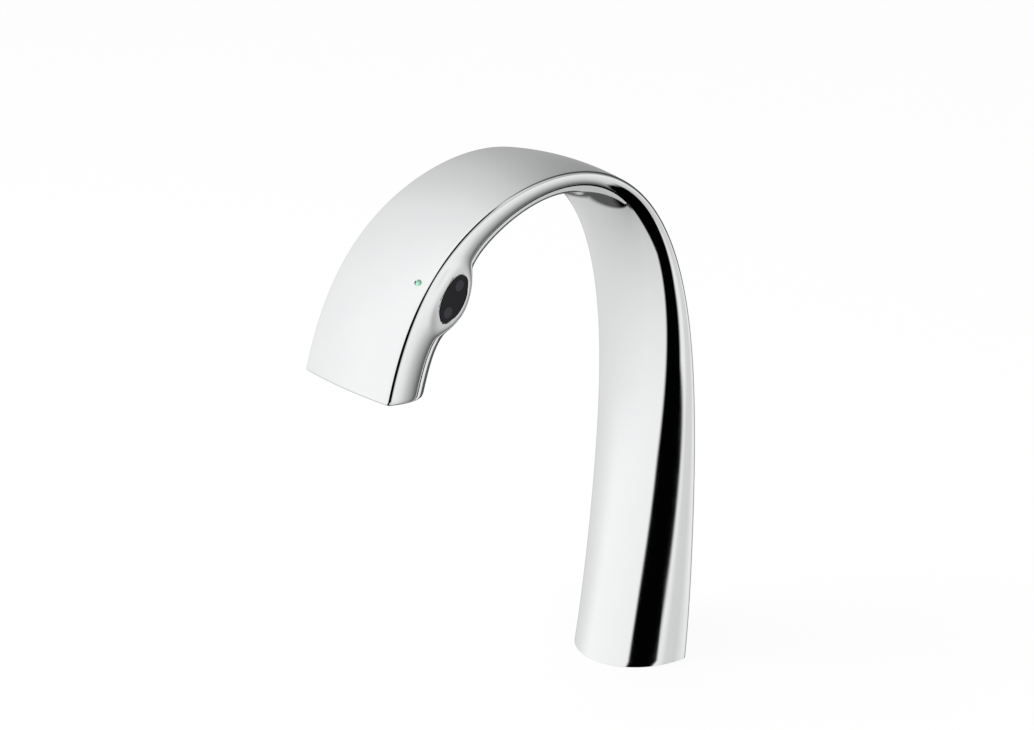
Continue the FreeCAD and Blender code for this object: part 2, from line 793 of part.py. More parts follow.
def lead_clip(run):
    """Clip that holds the lead beside the tube, at the straight middle of one run."""
    first, second = stations[run], stations[run + 1]
    along = (middle(second, 0) - middle(first, 0)).normalize()
    centre = (middle(second, 0) + middle(first, 0)) / 2
    low, high = -clip_width / 2, clip_width / 2
    body = disc(tube_radius + clip_wall, low, high, tube_side)
    body = body.fuse(disc(lead_radius + clip_wall, low, high, lead_side))
    body = body.fuse(block(lead_side - tube_side, clip_wall, low, high, (lead_side + tube_side) / 2))
    body = body.cut(disc(tube_radius + slide_clearance, low, high, tube_side))
    body = body.cut(disc(lead_radius + slide_clearance, low, high, lead_side))
    return placed(body, centre, X, along)


nodes["lead_clips"] = Part.makeCompound([lead_clip(run) for run in clip_runs])

os.makedirs("parts", exist_ok=True)
for name, shape in nodes.items():
    shape.exportStep("parts/" + name + ".step")
print(len(nodes), "nodes")
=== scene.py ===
import math
import bpy
import bmesh
from mathutils import Matrix, Vector


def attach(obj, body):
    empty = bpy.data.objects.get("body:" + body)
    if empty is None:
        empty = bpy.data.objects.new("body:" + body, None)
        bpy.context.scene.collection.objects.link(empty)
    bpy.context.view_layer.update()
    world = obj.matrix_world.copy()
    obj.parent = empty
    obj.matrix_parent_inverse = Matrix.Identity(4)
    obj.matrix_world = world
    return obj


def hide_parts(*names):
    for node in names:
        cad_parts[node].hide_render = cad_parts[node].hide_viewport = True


# Deck-mounted sensor tap: one chrome-plated casting with a dark sensor window and a green light.
# Metres, in the CAD frame: z up from the deck, the spout towards -Y, the window on +X.

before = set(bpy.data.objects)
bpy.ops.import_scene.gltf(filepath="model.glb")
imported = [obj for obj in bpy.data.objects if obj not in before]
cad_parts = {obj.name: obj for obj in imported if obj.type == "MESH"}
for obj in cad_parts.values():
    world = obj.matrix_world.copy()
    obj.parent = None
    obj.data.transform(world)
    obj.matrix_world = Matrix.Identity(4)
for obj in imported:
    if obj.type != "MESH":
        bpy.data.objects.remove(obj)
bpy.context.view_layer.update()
print("frame loaded:", len(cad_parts), "nodes")

mm = 0.001
weld, threadWeld = 1e-7, 1e-6  # points closer than this become one


def srgb(code):
    parts = [int(code[i:i + 2], 16) / 255 for i in (1, 3, 5)]
    return tuple(c / 12.92 if c <= 0.04045 else ((c + 0.055) / 1.055) ** 2.4 for c in parts) + (1.0,)


def addNode(tree, kind, links=None, **settings):
    node = tree.nodes.new(kind)
    for name, value in settings.items():
        setattr(node, name, value)
    for socket, source in (links or {}).items():
        if isinstance(source, bpy.types.NodeSocket):
            tree.links.new(source, node.inputs[socket])
        else:
            node.inputs[socket].default_value = source
    return node


def newMaterial(name):
    material = bpy.data.materials.new(name)
    material.use_nodes = True
    tree = material.node_tree
    tree.nodes.clear()
    shader = addNode(tree, "ShaderNodeBsdfPrincipled")
    addNode(tree, "ShaderNodeOutputMaterial", {0: shader.outputs[0]})
    return material, tree, shader


# metal, rubber and plastic that show a slow drift in tone and gloss, and a fine grain where there is one

def workedFinish(name, look):
    material, tree, shader = newMaterial(name)
    place = addNode(tree, "ShaderNodeTexCoord")
    patches = addNode(tree, "ShaderNodeTexNoise",
                      {"Vector": place.outputs["Object"], "Scale": 1 / (look["patchMm"] * mm), "Detail": 2.0})
    tone = addNode(tree, "ShaderNodeMix", {"Factor": patches.outputs["Fac"], 6: srgb(look["colour"]),
                                           7: srgb(look["second"])}, data_type="RGBA")
    gloss = addNode(tree, "ShaderNodeMapRange", {"Value": patches.outputs["Fac"], "To Min": look["roughness"][0],
                                                 "To Max": look["roughness"][1]})
    tree.links.new(tone.outputs[2], shader.inputs["Base Color"])
    tree.links.new(gloss.outputs[0], shader.inputs["Roughness"])
    shader.inputs["Metallic"].default_value = look.get("metallic", 0.0)
    if "grainMm" in look:
        grain = addNode(tree, "ShaderNodeTexNoise",
                        {"Vector": place.outputs["Object"], "Scale": 1 / (look["grainMm"] * mm), "Detail": 1.0})
        bump = addNode(tree, "ShaderNodeBump", {"Height": grain.outputs["Fac"],
                                                "Distance": look["grainDepthMm"] * mm})
        tree.links.new(bump.outputs[0], shader.inputs["Normal"])
    return material


# polished chromium over cast brass: a near mirror with a breath of blue, and faint wipe marks in its gloss
chrome = workedFinish("polishedChromePlate", {
    "colour": "#f6f7f8", "second": "#f9fafa", "metallic": 1.0, "patchMm": 18, "roughness": (0.035, 0.075)})
print("chrome ready")

# the casting's laws, as in the solid, with its edges eased and its strip bowed as a polisher leaves them:
# lengths in mm, and places as shares of the spine

spout = {
    "archHeight": 270.0, "reach": 167.3, "baseWidth": 63.4, "baseDepth": 38.1, "tipWidth": 65.2, "tipDepth": 35.3,
    "columnNarrowing": 0.4, "neckNarrowing": 4.2, "crownRise": 2.35, "wall": 2.4, "edgeWall": 1.3,
    # the spine's handles as parts of (reach, height), from the back of the base to the outlet
    "handles": [(0.0, 0.0), (-0.057, 0.357), (0.024, 0.588), (-0.168, 1.004),
                (0.249, 1.159), (0.587, 0.951), (0.849, 1.024), (1.0, 0.665)],
    "uprightUntil": 0.12, "outletTilt": -7.0, "tiltStarts": 0.9,
    "depthPulls": (21.7, 10.2, -3.2, 32.7), "bellyPower": 2.22, "bellyFullness": 0.61, "cavityFullness": 0.59,
    "baseStrip": 17.0, "edgeStrip": 2.5, "stripEnds": 0.42, "leastBow": 0.05,
    "edgeRound": 1.3, "tipRound": 2.6, "tipRoundStarts": 0.8, "mostEased": 0.85, "footRound": 0.3,
    "outletRound": 1.1,
    "rings": 420, "firstRing": 0.002, "recessRings": 6, "footSteps": 3, "outletSteps": 7, "spineLength": 330.0,
    "crownSteps": 22, "roundSteps": 8, "stripSteps": 6, "bellySteps": 44,
    "outletRadius": 12.0, "outletChamfer": 0.4, "boreDepth": 12.0, "footRecess": 14.0,
}

# "roll" turns the window in its own plane, which the solid's window isn't
window = {
    "at": 0.889, "depth": 17.6, "inset": 1.9, "turn": 10.0, "roll": 12.0, "length": 23.0, "height": 15.0,
    "rim": 1.5, "rimRound": 0.3, "seatDepth": 2.5, "clearAbove": 3.0, "padFade": 0.55, "padReach": 8.0,
    "swellLength": 0.042, "swellDepth": 2.5, "swellFullness": 0.30, "swellSquares": 0.5,
}


def law(values, t):
    # smooth law with these control values, at share t of the spine
    n = len(values) - 1
    return sum(math.comb(n, i) * v * t ** i * (1 - t) ** (n - i) for i, v in enumerate(values))


footBack = (spout["baseDepth"] - spout["crownRise"]) / 2
reachStretch = (spout["reach"] - spout["crownRise"] + footBack) / spout["handles"][-1][0]
curveTop = max(law([up for _, up in spout["handles"]], i / 500) for i in range(501))
heightStretch = (spout["archHeight"] - spout["crownRise"]) / curveTop
spineY = [footBack - reachStretch * forward for forward, _ in spout["handles"]]
spineZ = [heightStretch * up for _, up in spout["handles"]]
slopeY, slopeZ = ([b - a for a, b in zip(v, v[1:])] for v in (spineY, spineZ))
startLean = math.atan2(slopeY[0], slopeZ[0])


def station(t):
    # point of the spine, direction along it, direction out through the crown
    lean = math.atan2(law(slopeY, t), law(slopeZ, t))
    lean -= startLean * max(0.0, 1 - t / spout["uprightUntil"]) ** 2
    tilting = max(0.0, (t - spout["tiltStarts"]) / (1 - spout["tiltStarts"]))
    lean += math.radians(spout["outletTilt"]) * tilting ** 2
    point = Vector((0, law(spineY, t), law(spineZ, t)))
    return point, Vector((0, math.sin(lean), math.cos(lean))), Vector((0, math.cos(lean), -math.sin(lean)))


def swell(t):
    return math.exp(-((t - window["at"]) / window["swellLength"]) ** 2)


def halfWidth(t):
    base, tip = spout["baseWidth"], spout["tipWidth"]
    return law([base, base - spout["columnNarrowing"], tip - spout["neckNarrowing"], tip], t) / 2


def bellyDepth(t):
    pulls = [spout["baseDepth"], *spout["depthPulls"], spout["tipDepth"]]
    return law(pulls, t) + window["swellDepth"] * swell(t)


def at(t, side, depth):
    point, _, out = station(t)
    return point + Vector((side, 0, 0)) - out * depth


def bezier(points, q):
    n = len(points) - 1
    pulls = (p * (math.comb(n, i) * q ** i * (1 - q) ** (n - i)) for i, p in enumerate(points))
    return sum(pulls, Vector((0, 0)))


def crownDepth(x, half):
    rise = spout["crownRise"]
    radius = (half ** 2 + rise ** 2) / (2 * rise)
    return radius - rise - math.sqrt(radius ** 2 - x ** 2)


def halfOutline(t, side, easing):
    # half a section as (across, depth): crown from its middle, eased edge, strip, belly to its middle
    half, deep = halfWidth(t), bellyDepth(t)
    q = min(1.0, t / spout["stripEnds"])
    flat = spout["edgeStrip"] + (spout["baseStrip"] - spout["edgeStrip"]) * (1 - q) ** 2 * (1 + 2 * q)
    power = spout["bellyPower"]
    level = (1 - (flat / deep) ** power) ** (1 / power)
    fall = (half / deep) * (flat / deep / level) ** (power - 1)
    squarer = swell(t) if side > 0 else 0.0
    full = spout["bellyFullness"] + window["swellFullness"] * squarer
    fall *= 1 - window["swellSquares"] * squarer
    corner = half * level - fall * (deep - flat)
    edge, stripEnd = Vector((half, 0)), Vector((half * level, flat))
    # the strip starts straight back from the edge, and is in line with the belly where it meets it
    bow = max(spout["leastBow"] * flat, flat - half * (1 - level) / fall)
    strip = [edge, Vector((half, bow)), stripEnd]
    eased = min(spout["mostEased"], easing / flat)
    rounding = [Vector((half - easing, crownDepth(half - easing, half))), edge, bezier(strip, eased)]
    belly = [stripEnd, stripEnd + full * Vector((corner - half * level, deep - flat)),
             Vector((full * corner, deep)), Vector((0, deep))]
    crown = [(half - easing) * i / spout["crownSteps"] for i in range(spout["crownSteps"])]
    points = [Vector((x, crownDepth(x, half))) for x in crown]
    points += [bezier(rounding, i / spout["roundSteps"]) for i in range(spout["roundSteps"])]
    shares = [eased + (1 - eased) * i / spout["stripSteps"] for i in range(spout["stripSteps"])]
    points += [bezier(strip, share) for share in shares]
    return points + [bezier(belly, i / spout["bellySteps"]) for i in range(spout["bellySteps"] + 1)]


def wholeOutline(right, left):
    # from the belly's middle round the left side, the crown and the right side
    return [Vector((-p.x, p.y)) for p in left[::-1]] + right[1:-1]


def outline(t):
    nearTip = max(0.0, (t - spout["tipRoundStarts"]) / (1 - spout["tipRoundStarts"]))
    easing = spout["edgeRound"] + (spout["tipRound"] - spout["edgeRound"]) * nearTip ** 2
    return wholeOutline(halfOutline(t, 1, easing), halfOutline(t, -1, easing))


def cavityOutline(t, count):
    # the hollow inside the foot, with as many points as the outline round it
    gap = spout["wall"]
    half, deep = halfWidth(t) - spout["edgeWall"] * gap, bellyDepth(t) - gap
    full = spout["cavityFullness"]
    belly = [Vector((half, gap)), Vector((half, gap + full * (deep - gap))),
             Vector((full * half, deep)), Vector((0, deep))]
    steps = count // 4
    rest = count // 2 - steps
    right = [Vector((half * i / steps, gap + crownDepth(half * i / steps, half))) for i in range(steps)]
    right += [bezier(belly, i / rest) for i in range(rest + 1)]
    return wholeOutline(right, right)


def inset(points, distance):
    # a closed outline moved inwards, square to itself
    moved = []
    for before, point, after in zip(points[-1:] + points[:-1], points, points[1:] + points[:1]):
        run = (after - before).normalized()
        moved.append(point + Vector((-run.y, run.x)) * distance)
    return moved


# the window's frame: x along its length, z out through the lens
_, spoutAlong, windowCrown = station(window["at"])
windowTurn = math.radians(window["turn"])
windowOut = Vector((math.cos(windowTurn), 0, 0)) - windowCrown * math.sin(windowTurn)
windowAlong = Matrix.Rotation(math.radians(window["roll"]), 3, windowOut) @ spoutAlong
windowAcross = windowOut.cross(windowAlong)
windowCentre = at(window["at"], halfWidth(window["at"]) - window["inset"], window["depth"])
windowAxes = Matrix((windowAlong, windowAcross, windowOut)).transposed()
windowFrame = Matrix.Translation(windowCentre * mm) @ windowAxes.to_4x4()


def flattened(point):
    # the skin runs out level into the pad that holds the window
    offset = point - windowCentre
    along, across, out = offset.dot(windowAlong), offset.dot(windowAcross), offset.dot(windowOut)
    if abs(out) > window["padReach"]:
        return point
    padLength, padHeight = window["length"] / 2 + window["rim"], window["height"] / 2 + window["rim"]
    reach = math.hypot(along / padLength, across / padHeight)
    fade = min(1.0, max(0.0, (reach - 1) / window["padFade"]))
    return point - windowOut * out * (1 - fade * fade * (3 - 2 * fade))


def placedRing(t, points, shift=0.0):
    point, along, out = station(t)
    return [flattened(point + along * shift + Vector((p.x, 0, 0)) - out * p.y) for p in points]


def outletRing(depth, radius):
    # ring about the outlet's axis, its points at the section's own bearings
    _, along, out = station(1.0)
    middle = spout["tipDepth"] / 2
    centre = at(1.0, 0, middle) + along * depth
    bearings = [math.atan2(p.x, p.y - middle) for p in outline(1.0)]
    return [centre + Vector((math.sin(a) * radius, 0, 0)) - out * math.cos(a) * radius for a in bearings]


def smooth(mesh, angle=35.0):
    for face in mesh.faces:
        face.smooth = True
    for edge in mesh.edges:
        edge.smooth = len(edge.link_faces) == 2 and edge.calc_face_angle(0) < math.radians(angle)


def toObject(mesh, name, material):
    bmesh.ops.remove_doubles(mesh, verts=mesh.verts, dist=weld)
    bmesh.ops.recalc_face_normals(mesh, faces=mesh.faces)
    smooth(mesh)
    data = bpy.data.meshes.new(name)
    mesh.to_mesh(data)
    mesh.free()
    piece = bpy.data.objects.new(name, data)
    bpy.context.scene.collection.objects.link(piece)
    if material:
        data.materials.append(material)
    return piece


def loft(rings, place=None):
    # rings of equal count, or single points, joined into a closed skin
    mesh = bmesh.new()
    rows = [[mesh.verts.new(p * mm) for p in ring] for ring in rings]
    count = max(len(row) for row in rows)
    for low, high in zip(rows, rows[1:]):
        for i in range(count):
            j = (i + 1) % count
            corners = (low[i % len(low)], low[j % len(low)], high[j % len(high)], high[i % len(high)])
            mesh.faces.new(list(dict.fromkeys(corners)))
    for row in (rows[0], rows[-1]):
        if len(row) > 2:
            mesh.faces.new(row)
    if place:
        mesh.transform(place)
    return mesh


def makeSpout():
    # the section changes all the way, so its rings are laid one by one rather than by a profile on a path
    foot, outlet = outline(0.0), outline(1.0)
    top = next(i / 1000 for i in range(200) if law(spineZ, i / 1000) > spout["footRecess"])
    shares = [top * i / spout["recessRings"] for i in range(spout["recessRings"], -1, -1)]
    rings = [placedRing(t, cavityOutline(t, len(foot))) for t in shares]
    rounding = spout["footRound"]
    for i in range(spout["footSteps"]):
        a = math.pi / 2 * i / spout["footSteps"]
        rings.append(placedRing(0.0, inset(foot, rounding * (1 - math.sin(a))), rounding * (1 - math.cos(a))))
    first, last = spout["firstRing"], 1 - spout["outletRound"] / spout["spineLength"]
    for i in range(spout["rings"] + 1):
        t = first + (last - first) * i / spout["rings"]
        rings.append(placedRing(t, outline(t)))
    rounding = spout["outletRound"]
    for i in range(1, spout["outletSteps"] + 1):
        a = math.pi / 2 * i / spout["outletSteps"]
        rings.append(placedRing(1.0, inset(outlet, rounding * (1 - math.cos(a))), -rounding * (1 - math.sin(a))))
    chamfer, radius = spout["outletChamfer"], spout["outletRadius"]
    bore = ((0.0, radius + chamfer), (-chamfer, radius), (-spout["boreDepth"], radius))
    rings += [outletRing(depth, wide) for depth, wide in bore]
    return toObject(loft(rings), "spoutCasting", chrome)


def ovalPiece(name, rows, material, steps=96):
    # stacked ellipses about the window's axis: (length, height, level)
    turns = [2 * math.pi * i / steps for i in range(steps)]
    rings = [[Vector((length / 2 * math.cos(a), height / 2 * math.sin(a), level)) for a in turns]
             for length, height, level in rows]
    return toObject(loft(rings, windowFrame), name, material)


def turnedPiece(name, profile, place, material, steps=48):
    # (radius, level) profile turned about its own axis; a radius of 0 is a pole
    turns = [2 * math.pi * i / steps for i in range(steps)]
    rings = [[Vector((radius * math.cos(a), radius * math.sin(a), level))
              for a in (turns if radius else turns[:1])] for radius, level in profile]
    return toObject(loft(rings, place), name, material)


def cutAway(piece, cutter):
    modifier = piece.modifiers.new("cut", "BOOLEAN")
    modifier.object = cutter
    modifier.operation = "DIFFERENCE"
    modifier.solver = "EXACT"
    cut = bpy.data.meshes.new_from_object(piece.evaluated_get(bpy.context.evaluated_depsgraph_get()))
    piece.modifiers.clear()
    whole, piece.data = piece.data, cut
    bpy.data.meshes.remove(whole)
    cut.name = piece.name
    bpy.data.objects.remove(cutter)


casting = makeSpout()
print("spout skin:", len(casting.data.polygons), "faces")

# the cutter's 45 degree chamfer crosses the pad's plane and leaves the window a narrow rim
rimRound = window["rimRound"]
seatSize = (window["length"], window["height"])
rimSize = [size + 4 * rimRound for size in seatSize]
cutAway(casting, ovalPiece("windowSeat", [(*seatSize, -window["seatDepth"]), (*seatSize, -rimRound),
                                          (*rimSize, rimRound), (*rimSize, window["clearAbove"])], None))

# the green indicator beside the window, in the crown face; its dome's rows are (part of radius, part of height)
indicator = {
    "at": 0.896, "side": 25.0, "radius": 1.5, "clearance": 0.05, "length": 4.0, "hole": 2.6, "rimRound": 0.2,
    "lip": 0.1, "clearAbove": 1.0, "dome": 0.25, "domeRows": ((0.8, 0.4), (0.45, 0.85)),
    # a painted shade green and a painted highlight green for the dome's two sides, then the lit diode's glow
    "paintedShadeGreen": "#2f6f5a", "light": "#a9d8bf", "glow": 0.25, "roughness": 0.18,
}

indicatorHalf = halfWidth(indicator["at"])
indicatorPoint = at(indicator["at"], indicator["side"], crownDepth(indicator["side"], indicatorHalf))
_, indicatorAlong, indicatorOut = station(indicator["at"])
indicatorAxes = Matrix((indicatorAlong, indicatorOut.cross(indicatorAlong), indicatorOut)).transposed()
indicatorFrame = Matrix.Translation(indicatorPoint * mm) @ indicatorAxes.to_4x4()

holeRadius = indicator["radius"] + indicator["clearance"]
rimRadius = holeRadius + indicator["rimRound"]
lip, floor, ceiling = indicator["lip"], -indicator["hole"], indicator["clearAbove"]
cutAway(casting, turnedPiece("pipeHole", [(0, floor), (holeRadius, floor), (holeRadius, -lip), (rimRadius, lip),
                                          (rimRadius, ceiling), (0, ceiling)], indicatorFrame, None))
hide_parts("spout_body")
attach(casting, "tap")
print("spout casting done:", len(casting.data.polygons), "faces")

# the lens: levels count from the pad's plane, and its face is slightly domed inside the bevel
lens = {
    "clearance": 0.1, "back": -2.0, "edge": -0.35, "bevel": 0.4, "face": -0.1, "crown": -0.02, "crownShare": 0.7,
    "eyeSpacing": 13.2, "eyeRadius": 2.6, "eyeSoft": 0.25, "colour": "#0e0d11", "eyeColour": "#2e2c31",
    "haze": (0.05, 0.10), "hazeMm": 1.5, "ior": 1.49, "specular": 0.2,
}


def smokedAcrylic():
    # acrylic moulded with an infrared-passing dye and polished: near black, two diodes just showing behind it
    material, tree, shader = newMaterial("polishedSmokedAcrylic")
    place = addNode(tree, "ShaderNodeTexCoord")
    local = addNode(tree, "ShaderNodeMapping",
                    {"Vector": place.outputs["Object"], "Location": windowCentre * mm,
                     "Rotation": windowFrame.to_euler()}, vector_type="TEXTURE")
    flat = addNode(tree, "ShaderNodeVectorMath", {0: local.outputs[0], 1: (1, 1, 0)}, operation="MULTIPLY")
    spots = []
    for side in (-1, 1):
        eye = (side * lens["eyeSpacing"] / 2 * mm, 0, 0)
        far = addNode(tree, "ShaderNodeVectorMath", {0: flat.outputs[0], 1: eye}, operation="DISTANCE")
        spots.append(addNode(tree, "ShaderNodeMapRange", {
            "Value": far.outputs["Value"], "From Min": (lens["eyeRadius"] + lens["eyeSoft"]) * mm,
            "From Max": (lens["eyeRadius"] - lens["eyeSoft"]) * mm}))
    either = addNode(tree, "ShaderNodeMath", {0: spots[0].outputs[0], 1: spots[1].outputs[0]},
                     operation="MAXIMUM")
    tone = addNode(tree, "ShaderNodeMix", {"Factor": either.outputs[0], 6: srgb(lens["colour"]),
                                           7: srgb(lens["eyeColour"])}, data_type="RGBA")
    haze = addNode(tree, "ShaderNodeTexNoise", {"Vector": place.outputs["Object"],
                                                "Scale": 1 / (lens["hazeMm"] * mm)})
    gloss = addNode(tree, "ShaderNodeMapRange", {"Value": haze.outputs["Fac"], "To Min": lens["haze"][0],
                                                 "To Max": lens["haze"][1]})
    tree.links.new(tone.outputs[2], shader.inputs["Base Color"])
    tree.links.new(gloss.outputs[0], shader.inputs["Roughness"])
    shader.inputs["IOR"].default_value = lens["ior"]
    shader.inputs["Specular IOR Level"].default_value = lens["specular"]
    return material


lensSize = [size - lens["clearance"] for size in seatSize]
bevelSize = [size - lens["bevel"] for size in lensSize]
crownSize = [size * lens["crownShare"] for size in lensSize]
lensPiece = ovalPiece("sensorLens", [(*lensSize, lens["back"]), (*lensSize, lens["edge"]),
                                     (*bevelSize, lens["face"]), (*crownSize, lens["crown"])], smokedAcrylic())
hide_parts("sensor_window")
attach(lensPiece, "tap")
print("sensor window done")


def litAcrylicPaintedHighlight():
    # clear acrylic rod lit green from behind, with painted light across its dome: a painted shade green on one
    # side running into a painted highlight green on the other, in its colour and its glow alike
    material, tree, shader = newMaterial("litGreenAcrylicPaintedHighlight")
    place = addNode(tree, "ShaderNodeTexCoord")
    local = addNode(tree, "ShaderNodeMapping",
                    {"Vector": place.outputs["Object"], "Location": indicatorPoint * mm,
                     "Rotation": indicatorFrame.to_euler()}, vector_type="TEXTURE")
    parts = addNode(tree, "ShaderNodeSeparateXYZ", {0: local.outputs[0]})
    # painted shade turning into painted highlight across the pipe's width
    across = addNode(tree, "ShaderNodeMapRange",
                     {"Value": parts.outputs[0], "From Min": -indicator["radius"] * mm,
                      "From Max": indicator["radius"] * mm})
    tone = addNode(tree, "ShaderNodeMix", {"Factor": across.outputs[0], 6: srgb(indicator["paintedShadeGreen"]),
                                           7: srgb(indicator["light"])}, data_type="RGBA")
    tree.links.new(tone.outputs[2], shader.inputs["Base Color"])
    tree.links.new(tone.outputs[2], shader.inputs["Emission Color"])
    shader.inputs["Emission Strength"].default_value = indicator["glow"]
    shader.inputs["Roughness"].default_value = indicator["roughness"]
    return material


pipeRadius, pipeEnd, dome = indicator["radius"], -indicator["length"], indicator["dome"]
domeRows = [(pipeRadius * wide, dome * high) for wide, high in indicator["domeRows"]]
pipe = turnedPiece("lightPipe", [(0, pipeEnd), (pipeRadius, pipeEnd), (pipeRadius, -lip), *domeRows, (0, dome)],
                   indicatorFrame, litAcrylicPaintedHighlight())
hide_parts("light_pipe")
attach(pipe, "tap")
print("indicator done")

# the finishes of the CAD nodes that stay

looks = {
    # bare brass off a lathe: warm yellow, a fine turned grain
    "turnedBrass": {"colour": "#dcc07c", "second": "#cfb06a", "metallic": 1.0, "patchMm": 5,
                    "roughness": (0.24, 0.32), "grainMm": 0.8, "grainDepthMm": 0.006},
    # nickel plate over brass: a warmer, softer mirror than chrome
    "nickelPlate": {"colour": "#c9c2b2", "second": "#bdb6a6", "metallic": 1.0, "patchMm": 6,
                    "roughness": (0.17, 0.23)},
    # stamped stainless sheet: grey, with the fine drag marks of the tool
    "stampedStainless": {"colour": "#b9bbbe", "second": "#a9abae", "metallic": 1.0, "patchMm": 4,
                         "roughness": (0.21, 0.31), "grainMm": 0.5, "grainDepthMm": 0.004},
    # zinc-plated steel screws: blue-grey and slightly cloudy
    "zincPlate": {"colour": "#b4b7bc", "second": "#9ea1a8", "metallic": 1.0, "patchMm": 2,
                  "roughness": (0.27, 0.37)},
    # moulded rubber: matt black with a faint bloom
    "mouldedRubber": {"colour": "#161617", "second": "#1e1e1f", "patchMm": 3, "roughness": (0.67, 0.77),
                      "grainMm": 0.4, "grainDepthMm": 0.02},
    # glass-filled nylon: black, its fibres just raising the skin
    "glassFilledNylon": {"colour": "#18191b", "second": "#202124", "patchMm": 2, "roughness": (0.44, 0.56),
                         "grainMm": 0.3, "grainDepthMm": 0.015},
    # moulded acetal: milk white with a waxy gloss
    "mouldedAcetal": {"colour": "#eceae4", "second": "#e2e0da", "patchMm": 4, "roughness": (0.35, 0.41)},
    # glass-fibre board under a green mask: the weave clouds its gloss
    "maskedBoard": {"colour": "#1f5a38", "second": "#1a4c30", "patchMm": 1.5, "roughness": (0.35, 0.45)},
    # tinted epoxy diodes: dark and glossy
    "tintedEpoxy": {"colour": "#1c1a26", "second": "#232030", "patchMm": 1.5, "roughness": (0.10, 0.14)},
    # clear epoxy diode lit green: pale and glossy
    "clearEpoxy": {"colour": "#b9d9c0", "second": "#a9cdb2", "patchMm": 1.5, "roughness": (0.08, 0.12)},
    # extruded cross-linked polyethylene: milky, half matt
    "extrudedPolyethylene": {"colour": "#d9dcda", "second": "#cfd3d1", "patchMm": 8, "roughness": (0.39, 0.45)},
}

wears = {
    "turnedBrass": ["base_plate", "threaded_shank", "outlet_adapter"],
    "nickelPlate": ["mounting_nut", "inlet_nipple"],
    "stampedStainless": ["steel_washer", "mixing_screens", "tube_ferrules"],
    "zincPlate": ["plate_screws", "module_screws"],
    "mouldedRubber": ["base_gasket", "rubber_washer", "lead_grommet", "adapter_oring", "aerator_washer",
                      "regulator_ring", "window_seal", "sensor_lead"],
    "glassFilledNylon": ["shank_plug", "sensor_housing", "housing_cover", "light_baffle", "led_holder",
                         "lead_clips"],
    "mouldedAcetal": ["outlet_grid", "diffuser", "flow_regulator"],
    "maskedBoard": ["circuit_board"],
    "tintedEpoxy": ["ir_emitter", "ir_receiver"],
    "clearEpoxy": ["indicator_led"],
    "extrudedPolyethylene": ["water_tube"],
}

finishes = {name: workedFinish(name, look) for name, look in looks.items()}
finishOf = {node: finishes[name] for name, nodes in wears.items() for node in nodes}
for name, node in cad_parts.items():
    for place in node.material_slots:
        place.material = finishOf.get(name, chrome)
print("CAD nodes finished")

# screw threads: a sheet rolled into a tube, its outer rows drawn in between the crests

threads = {
    # G 3/4 on the shank, 14 turns to the inch
    "shankThread": {"replaces": "threaded_shank", "slot": "raw_brass", "finish": "turnedBrass",
                    "axis": (0.0, 0.0), "Radius": 13.2, "Depth": 1.1, "Pitch": 25.4 / 14, "Bore": 10.0,
                    "Low": -60.0, "High": 12.0, "Around": 72, "Rows": 300},
}


